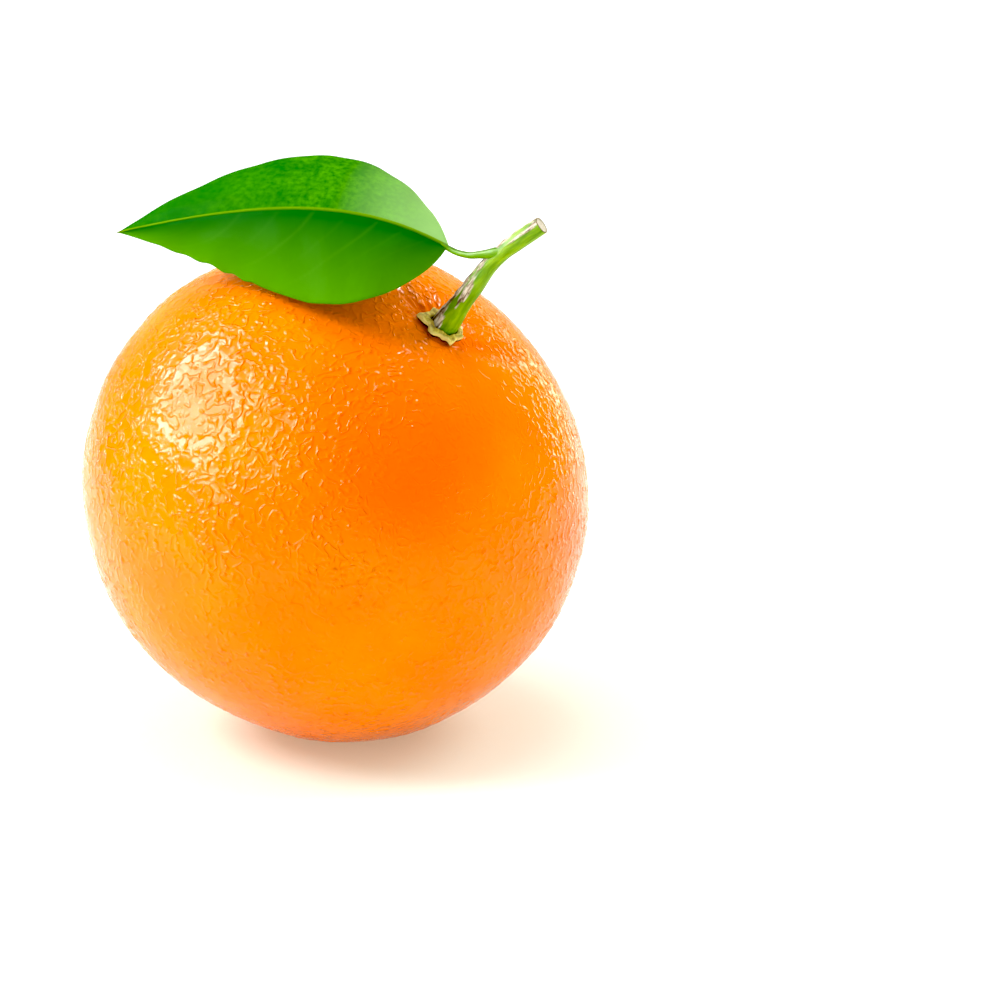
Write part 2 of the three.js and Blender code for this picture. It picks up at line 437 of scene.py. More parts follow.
def furrow_depth(from_axis, bearing):
    """How deep the furrows and the wide crease are at a place on the stem end, in mm."""
    random = np.random.default_rng(11)
    depth = np.zeros_like(from_axis)
    for number in range(FURROW_COUNT):
        here = 2 * math.pi * (number + random.uniform(-0.3, 0.3)) / FURROW_COUNT
        near_deepest = math.exp(-(turned_from(here, DEEP_FURROW_BEARING) / DEEP_FURROW_SPREAD) ** 2)
        strong = WEAKEST_FURROW + (1 - WEAKEST_FURROW) * near_deepest
        length = random.uniform(*FURROW_LENGTHS) * (0.6 + 0.7 * strong)
        # A furrow wanders a little on its way out.
        wander = FURROW_WANDER * np.sin(from_axis * random.uniform(0.4, 0.9) + number)
        off = turned_from(bearing, here) + wander
        sideways = off * from_axis / (FURROW_WIDTH * random.uniform(0.8, 1.3))
        along = smoothstep(*FURROWS_START, from_axis) * (1 - smoothstep(0.45 * length, length, from_axis))
        depth = np.maximum(depth, random.uniform(*FURROW_DEPTHS) * strong * along * np.exp(-sideways**2))
    start, end = CREASE_BEARINGS
    way = np.clip(from_axis / CREASE_LENGTH, 0, 1)
    off = turned_from(bearing, start + (end - start) * way**0.8)
    ending = smoothstep(0.55 * CREASE_LENGTH, CREASE_LENGTH, from_axis)
    along = smoothstep(*CREASE_STARTS, from_axis) * (1 - ending)
    crease = CREASE_DEPTH * along * np.exp(-((off * from_axis) / CREASE_WIDTH) ** 2)
    return np.maximum(depth, crease)


def peel_height(from_axis):
    """How high the smooth peel stands over the fruit's centre along the stem axis, in mm."""
    ball = POLE_RADIUS * np.sqrt(1 - (from_axis / EQUATOR_RADIUS) ** 2)
    return ball - STEM_HOLLOW_DEPTH * np.exp(-(from_axis / STEM_HOLLOW_SPREAD) ** 2)


def peel_shape(directions):
    """The peel without its pits, in the fruit's own upright frame, and marks for its material."""
    points = directions * np.array([EQUATOR_RADIUS, EQUATOR_RADIUS, POLE_RADIUS])
    from_axis = np.hypot(points[:, 0], points[:, 1])
    bearing = np.arctan2(points[:, 1], points[:, 0])
    lumps = BROAD_LUMP_HEIGHT * ripples(points, BROAD_LUMP_WIDTH, seed=3)
    lumps = lumps + SMALL_LUMP_HEIGHT * ripples(points, SMALL_LUMP_WIDTH, seed=4)
    top = points[:, 2] > 0
    furrow = np.where(top, furrow_depth(from_axis, bearing), 0)
    points += directions * (lumps * smoothstep(*LUMPS_FADE, from_axis))[:, None]
    hollow = STEM_HOLLOW_DEPTH * np.exp(-(from_axis / STEM_HOLLOW_SPREAD) ** 2)
    dimple = BLOSSOM_DIMPLE_DEPTH * np.exp(-(from_axis / BLOSSOM_DIMPLE_SPREAD) ** 2)
    points[:, 2] += np.where(top, -hollow, dimple)
    scar = np.where(top, 0, 1 - smoothstep(*SCAR_EDGE, from_axis))
    points[:, 2] -= SCAR_HEIGHT * scar
    points -= directions * furrow[:, None]
    bearing, out = SMOOTH_PATCH
    patch = np.array((out * math.cos(bearing), out * math.sin(bearing), peel_height(out)))
    apart = np.arccos(np.clip(directions @ (patch / np.linalg.norm(patch)), -1, 1))
    smoother = SMOOTH_PATCH_LOSES * np.exp(-(apart / SMOOTH_PATCH_SPREAD) ** 2)
    patches = RELIEF_PATCH_CHANGE * ripples(points, RELIEF_PATCH_WIDTH, seed=6)
    pebbled = np.clip(RELIEF_ON_THE_WHOLE + patches - smoother, LEAST_RELIEF, MOST_RELIEF)
    from_cheek = np.arccos(np.clip(directions @ (UPRIGHT_TO_TILTED.T @ CHEEK), -1, 1))
    waviness = CHEEK_EDGE_WAVINESS * ripples(points, CHEEK_EDGE_WAVE, seed=7)
    cheek = np.clip(1 - smoothstep(*CHEEK_EDGE, from_cheek) + waviness, 0, 1)
    return points, {"furrow": furrow, "scar": scar, "pebbled": pebbled, "cheek": cheek}


def bell(tree, value):
    """Nodes for a bell curve: 1 where the value is 0, and falling away to both sides of it."""
    square = add(tree, "ShaderNodeMath", {0: value, 1: value}, operation="MULTIPLY")
    minus = add(tree, "ShaderNodeMath", {0: square, 1: -1.0}, operation="MULTIPLY")
    return add(tree, "ShaderNodeMath", {0: minus}, operation="EXPONENT")


def peel_relief(tree, spot, pebbled):
    """The height of pits, pebbles and wrinkles in mm: what the mesh carries, what is left for the bump,
    and both together."""
    bends = add(tree, "ShaderNodeTexNoise", {
        "Vector": spot, "Scale": PIT_BENDS_PER_MM, "Detail": 2.0,
    }, "Color")
    bent = add(tree, "ShaderNodeVectorMath", {
        0: bends, 1: (PIT_BEND,) * 3, 2: spot,
    }, operation="MULTIPLY_ADD")
    pits = add(tree, "ShaderNodeTexVoronoi", {"Vector": bent, "Scale": 1 / PIT_SPACING}, None, feature="F1")
    away = add(tree, "ShaderNodeMath", {0: pits.outputs["Distance"], 1: PIT_SPACING}, operation="MULTIPLY")
    # Each pit has its own depth.
    own = add(tree, "ShaderNodeSeparateXYZ", {0: pits.outputs["Color"]})
    shallowest, deepest = PIT_DEPTH_SHARES
    own_depth = add(tree, "ShaderNodeMapRange", {"Value": own, TO_LOW: shallowest, TO_HIGH: deepest})
    heights = []
    for radius, depth in ((SHALLOW_PIT_RADIUS, SHALLOW_PIT_DEPTH), (PIT_RADIUS, PIT_DEPTH)):
        share = add(tree, "ShaderNodeMath", {0: away, 1: radius}, operation="DIVIDE")
        deep = add(tree, "ShaderNodeMath", {0: bell(tree, share), 1: -depth}, operation="MULTIPLY")
        heights.append(add(tree, "ShaderNodeMath", {0: deep, 1: own_depth}, operation="MULTIPLY"))
    pebbles = add(tree, "ShaderNodeTexNoise", {"Vector": spot, "Scale": 1 / PEBBLE_WIDTH, "Detail": 1.0})
    raised = add(tree, "ShaderNodeMath", {0: pebbles, 1: 0.5}, operation="SUBTRACT")
    swell = add(tree, "ShaderNodeMath", {0: raised, 1: 2 * PEBBLE_HEIGHT}, operation="MULTIPLY")
    both = add(tree, "ShaderNodeMath", {0: swell, 1: heights[0]}, operation="ADD")
    in_mesh = add(tree, "ShaderNodeMath", {0: both, 1: pebbled}, operation="MULTIPLY")
    # Fine wrinkles wind between the pits along one level of a smooth noise.
    winding = add(tree, "ShaderNodeTexNoise", {
        "Vector": spot, "Scale": 1 / WRINKLE_WIDTH, "Detail": 1.0, "Distortion": 0.4,
    })
    near = add(tree, "ShaderNodeMapRange", {
        "Value": winding, LOW: 0.40, HIGH: 0.60, TO_LOW: -2.0, TO_HIGH: 2.0,
    }, clamp=False)
    # They are lost in the low places between pebbles.
    coming = add(tree, "ShaderNodeMapRange", {
        "Value": pebbles, LOW: 0.32, HIGH: 0.52, TO_HIGH: -WRINKLE_DEPTH,
    })
    crinkle = add(tree, "ShaderNodeMath", {0: bell(tree, near), 1: coming}, operation="MULTIPLY")
    # They fade on the lower half of the fruit.
    level = add(tree, "ShaderNodeSeparateXYZ", {0: spot}, "Z")
    faded, full = WRINKLES_FADE
    drawn = add(tree, "ShaderNodeMapRange", {
        "Value": level, LOW: faded, HIGH: full, TO_LOW: WRINKLES_BELOW,
    })
    crinkle = add(tree, "ShaderNodeMath", {0: crinkle, 1: drawn}, operation="MULTIPLY")
    rest = add(tree, "ShaderNodeMath", {0: heights[1], 1: heights[0]}, operation="SUBTRACT")
    fine = add(tree, "ShaderNodeMath", {0: rest, 1: crinkle}, operation="ADD")
    in_bump = add(tree, "ShaderNodeMath", {0: fine, 1: pebbled}, operation="MULTIPLY")
    whole = add(tree, "ShaderNodeMath", {0: in_mesh, 1: in_bump}, operation="ADD")
    return in_mesh, in_bump, whole


def shaping_tree(name):
    """A geometry tree that takes a mesh in and gives one out, and the output that brings the mesh in."""
    tree = bpy.data.node_groups.new(name, "GeometryNodeTree")
    tree.interface.new_socket("Geometry", in_out="INPUT", socket_type="NodeSocketGeometry")
    tree.interface.new_socket("Geometry", in_out="OUTPUT", socket_type="NodeSocketGeometry")
    return tree, add(tree, "NodeGroupInput")


def peel_pits():
    """Geometry nodes that press the pits into the peel's mesh."""
    tree, start = shaping_tree("peel_pits")
    spot = add(tree, "GeometryNodeInputNamedAttribute", {"Name": "peel_spot"}, data_type="FLOAT_VECTOR")
    pebbled = add(tree, "GeometryNodeInputNamedAttribute", {"Name": "pebbled"}, data_type="FLOAT")
    in_mesh = peel_relief(tree, spot, pebbled)[0]
    metres = add(tree, "ShaderNodeMath", {0: in_mesh, 1: MM}, operation="MULTIPLY")
    normal = add(tree, "GeometryNodeInputNormal")
    push = add(tree, "ShaderNodeVectorMath", {0: normal, "Scale": metres}, operation="SCALE")
    moved = add(tree, "GeometryNodeSetPosition", {"Geometry": start, "Offset": push})
    add(tree, "NodeGroupOutput", {0: moved}, None)
    return tree


def waxed_orange_peel():
    """Flavedo, the coloured rind, under its own thin wax: saturated orange with a glossy, pebbled skin,
    deeper and redder on the front cheek as partly blush and partly painted shade, and redder as painted
    shade in the deepest pits and wrinkles and in the furrows."""
    material, tree = empty_material("waxed_orange_peel")
    spot = add(tree, "ShaderNodeAttribute", out="Vector", attribute_name="peel_spot")
    pebbled = add(tree, "ShaderNodeAttribute", out="Fac", attribute_name="pebbled")
    _, in_bump, height = peel_relief(tree, spot, pebbled)
    broad = add(tree, "ShaderNodeTexNoise", {"Vector": spot, "Scale": 1 / COLOUR_PATCH_WIDTH, "Detail": 3.0})
    patchy = add(tree, "ShaderNodeMapRange", {"Value": broad, LOW: 0.35, HIGH: 0.65})
    ground = add(tree, "ShaderNodeMix", {SHARE: patchy, FIRST: "#f47600", SECOND: "#f68000"}, **COLOURS)
    # The cheek's deeper orange is partly blush, partly painted shade on the front, away from the key light.
    cheek = add(tree, "ShaderNodeAttribute", out="Fac", attribute_name="cheek")
    cheek_shaded = add(tree, "ShaderNodeMix", {SHARE: cheek, FIRST: ground, SECOND: "#f26800"}, **COLOURS)
    # Painted shade: the deepest pits and wrinkles are tinted a darker red orange.
    hollow = add(tree, "ShaderNodeMapRange", {
        "Value": height, LOW: -0.35, HIGH: -0.12, TO_LOW: 0.10, TO_HIGH: 0.0,
    })
    pit_shaded = add(tree, "ShaderNodeMix", {SHARE: hollow, FIRST: cheek_shaded, SECOND: "#dc4a00"}, **COLOURS)
    # Painted shade: the furrows are coloured a deeper red orange the deeper they run.
    furrow = add(tree, "ShaderNodeAttribute", out="Fac", attribute_name="furrow")
    deep = add(tree, "ShaderNodeMapRange", {"Value": furrow, LOW: 0.05, HIGH: 0.55, TO_HIGH: 0.35})
    furrow_shaded = add(tree, "ShaderNodeMix", {SHARE: deep, FIRST: pit_shaded, SECOND: "#e85600"}, **COLOURS)
    scar = add(tree, "ShaderNodeAttribute", out="Fac", attribute_name="scar")
    colour = add(tree, "ShaderNodeMix", {SHARE: scar, FIRST: furrow_shaded, SECOND: "#6e4a22"}, **COLOURS)
    smudges = add(tree, "ShaderNodeTexNoise", {"Vector": spot, "Scale": 1 / WAX_SMUDGE_WIDTH, "Detail": 2.0})
    roughness = add(tree, "ShaderNodeMapRange", {
        "Value": smudges, LOW: 0.3, HIGH: 0.7, TO_LOW: 0.10, TO_HIGH: 0.17,
    })
    bump = add(tree, "ShaderNodeBump", {"Height": in_bump, "Distance": MM})
    shader = add(tree, "ShaderNodeBsdfPrincipled", {
        "Base Color": colour, "Roughness": roughness, "IOR": 1.45, "Specular IOR Level": 0.16,
        "Normal": bump,
    })
    add(tree, "ShaderNodeOutputMaterial", {"Surface": shader}, None)
    return material


def weld(piece, distance):
    """Joins the points that lie on each other, this many millimetres apart at most, where grids meet."""
    tree, start = shaping_tree("weld")
    joined = add(tree, "GeometryNodeMergeByDistance", {"Geometry": start, "Distance": distance * MM})
    add(tree, "NodeGroupOutput", {0: joined}, None)
    piece.modifiers.new("weld", "NODES").node_group = tree


def keep_evaluated(piece):
    """Puts a piece's modifiers into its mesh."""
    depsgraph = bpy.context.evaluated_depsgraph_get()
    made = bpy.data.meshes.new_from_object(piece.evaluated_get(depsgraph), depsgraph=depsgraph)
    piece.modifiers.clear()
    piece.data = made


def make_fruit():
    directions, quads, places = cube_sphere(FRUIT_CELLS)
    from_stem = np.arccos(np.clip(directions[:, 2], -1, 1))
    crowded = from_stem - CROWDING * np.sin(from_stem)
    level = np.maximum(np.hypot(directions[:, 0], directions[:, 1]), 1e-9)
    directions[:, :2] *= (np.sin(crowded) / level)[:, None]
    directions[:, 2] = np.cos(crowded)
    upright, marks = peel_shape(directions)
    points = upright @ UPRIGHT_TO_TILTED.T + CENTRE
    points[:, 2] = np.maximum(points[:, 2], FRUIT_LOW.z / MM + FOOT_CLEARANCE)
    piece = make_piece("peel", points, quads, [waxed_orange_peel()])
    store(piece, "peel_spot", points)
    for name, values in marks.items():
        store(piece, name, values)
    corners = np.zeros(len(piece.data.loops), np.int32)
    piece.data.loops.foreach_get("vertex_index", corners)
    layer = piece.data.uv_layers.new(name="OFBake")
    layer.data.foreach_set("uv", places[corners].astype(np.float32).ravel())
    weld(piece, WELD_DISTANCE)
    piece.modifiers.new("pits", "NODES").node_group = peel_pits()
    keep_evaluated(piece)
    hand_over(piece, "fruit")


# ---------------------------------------------------------------- calyx

# Each lobe of the star: its bearing about the stem axis, its reach, its half width in radians, and how
# far it curls up.
CALYX_LOBES = [
    (math.radians(-172), 4.55, 0.52, 0.10),
    (math.radians(-118), 3.70, 0.45, 0.0),
    (math.radians(-66), 4.00, 0.50, 0.0),
    (math.radians(-27), 3.50, 0.34, 0.60),
    (math.radians(70), 3.40, 0.50, 0.10),
    (math.radians(132), 3.50, 0.45, 0.25),
]
CALYX_NOTCH = 3.05
LOBE_SHARPNESS = 1.15
# Its edge is a little ragged, by waves this long as shares of its radius.
EDGE_RAGGEDNESS = 0.14
EDGE_WAVE = 0.8
# Inside the rim its outline keeps to a round of this radius.
CALYX_ROUND = 3.1
CRUMPLE_HEIGHT = 0.17
CRUMPLE_WIDTH = 1.3
# It stands this far off the smooth peel, and further out than this it doesn't droop with the peel.
CALYX_OFF_PEEL = 0.12
CALYX_DROOPS_TO = 3.0
BLOTCHES_PER_MM = 1.6
GRAINS_PER_MM = 4.0


def make_calyx():
    rows, around = 64, 220
    bearing = np.linspace(-math.pi, math.pi, around, endpoint=False)
    reach = np.full(around, CALYX_NOTCH)
    curl = np.zeros(around)
    for middle, length, half, lift in CALYX_LOBES:
        off = np.abs(turned_from(bearing, middle)) / half
        shape = np.clip(1 - off, 0, 1) ** LOBE_SHARPNESS
        reach = np.maximum(reach, CALYX_NOTCH + (length - CALYX_NOTCH) * shape)
        curl = np.maximum(curl, lift * np.clip(1 - off, 0, 1))
    ring = np.stack([np.cos(bearing), np.sin(bearing), np.zeros(around)], 1)
    reach = reach + EDGE_RAGGEDNESS * ripples(ring, EDGE_WAVE, seed=21)
    # From the crown under the twig, over the dished top, round the rim and back underneath.
    profile = [
        (0.00, 0.80), (0.50, 0.80), (0.63, 0.82), (0.67, 1.02), (0.71, 1.22), (0.77, 1.26), (0.86, 1.14),
        (0.94, 1.08), (0.985, 0.92), (1.0, 0.62), (0.985, 0.38), (0.95, 0.22), (0.85, 0.10), (0.6, 0.02),
        (0.3, 0.0), (0.0, 0.0),
    ]
    steps = np.linspace(0, len(profile) - 1, rows)
    fractions, heights = [np.interp(steps, range(len(profile)), values) for values in zip(*profile)]
    points, rim = [], []
    for fraction, height in zip(fractions, heights):
        # Inside the rim the top keeps round; only its outer part follows the lobes.
        out = fraction * (reach * fraction**2 + CALYX_ROUND * (1 - fraction**2))
        # The underside of a lobe curls up a little less than its top.
        lift = curl * fraction**6 * (1 if height > 0.3 else 0.8)
        flat = ring * out[:, None]
        crumple = CRUMPLE_HEIGHT * ripples(flat + np.array((0, 0, height)), CRUMPLE_WIDTH, seed=22)
        crumple = crumple * smoothstep(0.5, 0.8, fraction)
        under = peel_height(np.minimum(out, CALYX_DROOPS_TO)) + CALYX_OFF_PEEL
        level = under + height + lift + crumple
        points.append(flat + np.stack([0 * level, 0 * level, level], 1))
        # Underneath it is painted as dark as the ring round the twig: painted shade, as is that ring.
        rim.append(np.full(around, fraction if height > 0.45 else 0.0))
    upright = np.vstack(points)
    faces = grid_faces(rows, around, closed=True)
    piece = make_piece("calyx", upright @ UPRIGHT_TO_TILTED.T + CENTRE, faces, [dry_calyx()])
    store(piece, "calyx_spot", upright)
    store(piece, "rim", np.concatenate(rim))
    hand_over(piece, "calyx")


def dry_calyx():
    """The woody button of sepals, drying out: dull yellow in ochre blotches, straw pale along the rim,
    painted dark brown as shade in the ring round the twig and underneath, with a fine grain and hardly any
    shine."""
    material, tree = empty_material("dry_olive_calyx")
    spot = add(tree, "ShaderNodeAttribute", out="Vector", attribute_name="calyx_spot")
    blotches = add(tree, "ShaderNodeTexNoise", {
        "Vector": spot, "Scale": BLOTCHES_PER_MM, "Detail": 4.0, "Distortion": 0.5,
    })
    blotch = add(tree, "ShaderNodeMapRange", {"Value": blotches, LOW: 0.35, HIGH: 0.65})
    ground = add(tree, "ShaderNodeMix", {SHARE: blotch, FIRST: "#a0862a", SECOND: "#dccb4e"}, **COLOURS)
    rim = add(tree, "ShaderNodeAttribute", out="Fac", attribute_name="rim")
    edge = add(tree, "ShaderNodeMapRange", {"Value": rim, LOW: 0.90, HIGH: 1.0, TO_HIGH: 0.8})
    edged = add(tree, "ShaderNodeMix", {SHARE: edge, FIRST: ground, SECOND: "#f0e284"}, **COLOURS)
    # Painted shade: dark brown in the ring round the twig and on the underside.
    ring_and_underside_shade = add(tree, "ShaderNodeMapRange", {"Value": rim, LOW: 0.66, HIGH: 0.71, TO_LOW: 1.0, TO_HIGH: 0.0})
    colour = add(tree, "ShaderNodeMix", {SHARE: ring_and_underside_shade, FIRST: edged, SECOND: "#2e1c08"}, **COLOURS)
    grain = add(tree, "ShaderNodeTexNoise", {"Vector": spot, "Scale": GRAINS_PER_MM, "Detail": 4.0})
    roughness = add(tree, "ShaderNodeMapRange", {"Value": grain, TO_LOW: 0.5, TO_HIGH: 0.8})
    bump = add(tree, "ShaderNodeBump", {"Height": grain, "Distance": 0.12 * MM})
    shader = add(tree, "ShaderNodeBsdfPrincipled", {
        "Base Color": colour, "Roughness": roughness, "Specular IOR Level": 0.35, "Normal": bump,
    })
    add(tree, "ShaderNodeOutputMaterial", {"Surface": shader}, None)
    return material


# ---------------------------------------------------------------- twig

TWIG_FOOT = 36.7
TWIG_PATH = [
    [21.9, -18.6, 36.0], [24.0, -19.8, 39.0], [25.9, -20.9, 41.1], [28.3, -22.0, 43.1], [31.7, -23.2, 45.6],
]
# How thick the twig is along its length: flared at the foot, swollen at the leaf's node, flared at the cut.
TWIG_RADII = [
    (0, 2.0), (1.2, 2.02), (2.4, 1.95), (4.1, 1.72), (6.5, 1.52),
    (9.4, 1.50), (11, 1.38), (13.5, 1.24), (17, 1.19), (18.5, 1.3),
]
# The side that faces up and left has turned corky.
CORK_SIDE = np.array((-0.64, -0.25, 0.86))
# The middle of the cork lies this far round from there in radians, and past the node it shifts back.
CORK_MIDDLE, CORK_SHIFT = 0.25, 0.2
CORK_EDGE = (0.78, 0.98)
# One patch of cork lies under the node: how far along it is, and how far round.
CORK_PATCH = (8.2, 5.0)
CORK_PATCH_SPREAD = (1.3, 0.35)
CORK_THICKNESS, CORK_ROUGHNESS = 0.06, 0.07
BARK_STREAK_HEIGHT = 0.02
USUAL_TWIG_RADIUS = 1.5
# Along the twig its pattern counts as this much shorter, so that streaks come out long.
STREAK_STRETCH = 0.28
STREAKS_PER_MM = 1.3
CORK_SCALES_PER_MM = 3.2
FIBRES_PER_MM = 4.0


def make_twig():
    rows, around = 170, 96
    foot = np.array(STEM_AXIS) * TWIG_FOOT
    path, along = curve_through([foot, *TWIG_PATH], rows)
    forward, side, over = carried_sides(path, CORK_SIDE)
    angle = np.linspace(0, 2 * math.pi, around, endpoint=False)
    radius = np.interp(along, *zip(*TWIG_RADII))
    # Each row takes the average of its neighbours' radii, so that no kink shows.
    reach = 6
    window = np.ones(2 * reach + 1) / (2 * reach + 1)
    smooth = np.convolve(np.pad(radius, reach, mode="edge"), window, mode="valid")
    a, s = np.meshgrid(angle, along)
    straight = np.stack([np.cos(a) * USUAL_TWIG_RADIUS, np.sin(a) * USUAL_TWIG_RADIUS, s], -1)
    stretched = (straight * np.array((1, 1, STREAK_STRETCH))).reshape(-1, 3)
    streak = ripples(stretched, 1.5, seed=31).reshape(a.shape)
    fine = ripples(stretched * 2, 1.1, seed=32).reshape(a.shape)
    # Cork covers the upper left side, more of it at the foot, and one patch under the node.
    band_middle = CORK_MIDDLE - CORK_SHIFT * smoothstep(10.5, 13.0, s)
    band = np.cos(a - band_middle) + 0.45 * streak + 0.16 * fine
    band = band + 0.28 * smoothstep(6.0, 2.5, s) - 0.05 * smoothstep(10.5, 14.5, s)
    patch_along, patch_round = CORK_PATCH
    spread_along, spread_round = CORK_PATCH_SPREAD
    patch = np.exp(-((s - patch_along) / spread_along) ** 2 - ((a - patch_round) / spread_round) ** 2) * 0.9
    cork = np.clip(smoothstep(*CORK_EDGE, band) + patch * smoothstep(-0.2, 0.3, fine), 0, 1)
    relief = BARK_STREAK_HEIGHT * streak + cork * (CORK_THICKNESS + CORK_ROUGHNESS * fine)
    out = (smooth[:, None] + relief)[..., None]
    ring = np.cos(a)[..., None] * side[:, None] + np.sin(a)[..., None] * over[:, None]
    points = (path[:, None] + ring * out).reshape(-1, 3)
    faces = grid_faces(rows, around, closed=True)
    faces.append(tuple(range(around))[::-1])
    bark_faces = len(faces)
    # The cut end: a rim, then a slightly dished face in rings.
    end, outward = path[-1], forward[-1]
    shares = [0.93, 0.86, 0.72, 0.5, 0.28]
    dishes = [0.10, 0.04, -0.06, -0.12, -0.12]
    start = len(points)
    rings = [points[-around:]]
    for share, dish in zip(shares, dishes):
        rings.append(end + (points[-around:] - end) * share + outward * dish)
    points = np.vstack([points, *rings[1:], (end - outward * 0.1)[None]])
    faces += grid_faces(len(shares) + 1, around, closed=True, start=start - around)
    middle = len(points) - 1
    last = middle - around
    faces += [(last + i, last + (i + 1) % around, middle) for i in range(around)]
    numbers = [0] * bark_faces + [1] * (len(faces) - bark_faces)
    piece = make_piece("twig", points + CENTRE, faces, [green_twig_bark(), cut_twig_wood()], numbers)
    extra = len(points) - rows * around
    spots = np.vstack([straight.reshape(-1, 3), np.zeros((extra, 3))])
    across = (points[-extra:] - end) @ np.stack([side[-1], over[-1], outward], 1)
    spots[-extra:] = across
    store(piece, "twig_spot", spots)
    store(piece, "cork", np.concatenate([cork.ravel(), np.zeros(extra)]))
    hand_over(piece, "twig")


def green_twig_bark():
    """Young citrus bark: smooth lime green with long fine streaks, and on one side dry cork in
    grey and cream scales with brown cracks between them."""
    material, tree = empty_material("young_green_bark")
    spot = add(tree, "ShaderNodeAttribute", out="Vector", attribute_name="twig_spot")
    long = add(tree, "ShaderNodeVectorMath", {0: spot, 1: (1, 1, 0.2)}, operation="MULTIPLY")
    streak = add(tree, "ShaderNodeTexNoise", {"Vector": long, "Scale": STREAKS_PER_MM, "Detail": 3.0})
    tint = add(tree, "ShaderNodeMapRange", {"Value": streak, LOW: 0.35, HIGH: 0.65})
    green = add(tree, "ShaderNodeMix", {SHARE: tint, FIRST: "#568600", SECOND: "#86ac02"}, **COLOURS)
    scales = add(tree, "ShaderNodeTexNoise", {
        "Vector": long, "Scale": CORK_SCALES_PER_MM, "Detail": 4.0, "Distortion": 0.8,
    })
    cracked = add(tree, "ShaderNodeValToRGB", {0: scales}, None)
    ramp = cracked.color_ramp
    ramp.elements[0].position = 0.38
    ramp.elements[0].color = linear("#5a4026")
    ramp.elements[1].position = 0.62
    ramp.elements[1].color = linear("#ddd3bd")
    ramp.elements.new(0.5).color = linear("#a39377")
    cork = add(tree, "ShaderNodeAttribute", out="Fac", attribute_name="cork")
    colour = add(tree, "ShaderNodeMix", {SHARE: cork, FIRST: green, SECOND: cracked.outputs[0]}, **COLOURS)
    roughness = add(tree, "ShaderNodeMapRange", {"Value": cork, TO_LOW: 0.42, TO_HIGH: 0.8})
    bump = add(tree, "ShaderNodeBump", {"Height": scales, "Distance": 0.10 * MM})
    shader = add(tree, "ShaderNodeBsdfPrincipled", {
        "Base Color": colour, "Roughness": roughness, "Specular IOR Level": 0.2, "Normal": bump,
    })
    add(tree, "ShaderNodeOutputMaterial", {"Surface": shader}, None)
    return material


def cut_twig_wood():
    """Pale wood where the clippers went through: cream with grey fibres and a brown dried edge."""
    material, tree = empty_material("cut_twig_wood")
    spot = add(tree, "ShaderNodeAttribute", out="Vector", attribute_name="twig_spot")
    from_middle = add(tree, "ShaderNodeVectorMath", {0: spot}, "Value", operation="LENGTH")
    fibres = add(tree, "ShaderNodeTexNoise", {"Vector": spot, "Scale": FIBRES_PER_MM, "Detail": 3.0})
    wood = add(tree, "ShaderNodeMix", {SHARE: fibres, FIRST: "#a89d84", SECOND: "#ece4cc"}, **COLOURS)
    rim = add(tree, "ShaderNodeMapRange", {"Value": from_middle, LOW: 1.0, HIGH: 1.22})
    colour = add(tree, "ShaderNodeMix", {SHARE: rim, FIRST: wood, SECOND: "#7b6a3a"}, **COLOURS)
    bump = add(tree, "ShaderNodeBump", {"Height": fibres, "Distance": 0.12 * MM})
    roughness = add(tree, "ShaderNodeMapRange", {"Value": fibres, TO_LOW: 0.7, TO_HIGH: 0.9})
    shader = add(tree, "ShaderNodeBsdfPrincipled", {
        "Base Color": colour, "Roughness": roughness, "Specular IOR Level": 0.3, "Normal": bump,
    })
    add(tree, "ShaderNodeOutputMaterial", {"Surface": shader}, None)
    return material


# ---------------------------------------------------------------- leaf

STALK_PATH = [
    [26.3, -21.2, 41.5], [24.3, -20.7, 41.05], [22.5, -20.1, 40.8], [21.1, -19.4, 40.6],
    [19.4, -18.4, 40.8], [18.3, -17.8, 41.2], [17.2, -17.6, 41.8], [15.6, -17.6, 42.7],
]
STALK_RADII = [(0, 0.95), (0.14, 0.92), (0.32, 0.60), (0.5, 0.50), (0.72, 0.45), (0.85, 0.40), (1, 0.2)]
# A shallow groove runs along its top: its depth as a share of the radius, its half width in radians.
GROOVE_DEPTH, GROOVE_HALF_WIDTH = 0.16, 0.45
STALK_STREAKS_PER_MM = 2.5

MIDRIB = np.array([[17.8, -17.5, 41.5], [4.7, -18.1, 49.0], [-9.3, -14.9, 48.2], [-32.8, -3.1, 41.4]])
BLADE_HALF_WIDTH = 14.3
BLADE_BASE_FULLNESS = 0.59
BLADE_TIP_SHARPNESS = 1.05
BLADE_HALF_WIDTH_AT_ENDS = 0.35
BLADE_FACING = math.radians(42.8)
BLADE_FOLD = math.radians(18)
BLADE_ROLL = math.radians(41.9)
BLADE_THICKNESS = 0.34
BLADE_LENGTH = 54
# Where the side veins leave the midrib, as shares of its length.
SIDE_VEINS = [0.06, 0.15, 0.245, 0.35, 0.46, 0.57, 0.68, 0.79]
# How plainly each of them shows.
VEIN_STRENGTHS = [0.3, 0.4, 1.0, 0.35, 0.9, 0.3, 0.5, 0.2]
VEIN_HALF_WIDTH = 0.32
# Across a side vein, which runs at a slant, the blade counts as this long.
LENGTH_ACROSS_VEINS = 45
VEIN_DEPTH_ABOVE, VEIN_HEIGHT_BELOW = 0.02, 0.05
# The midrib's half width at the tip, and how much wider it is at the stalk. Its heights go the same way.
RIB_HALF_WIDTH = (0.13, 0.24)
RIB_HEIGHT_ABOVE = (0.05, 0.12)
RIB_HEIGHT_BELOW = (0.08, 0.22)
# Between its side veins the blade is quilted, broadly and finely: how wide and how high.
BROAD_QUILT, FINE_QUILT = (7.0, 0.16), (2.6, 0.02)
# The lower margin waves towards the tip: how far, as a share of the blade's half width, and how fast.
MARGIN_WAVE, MARGIN_WAVE_RATE = 0.022, 95
MOTTLES_PER_MM = 1.1
LEAF_PATCHES_PER_MM = 0.14


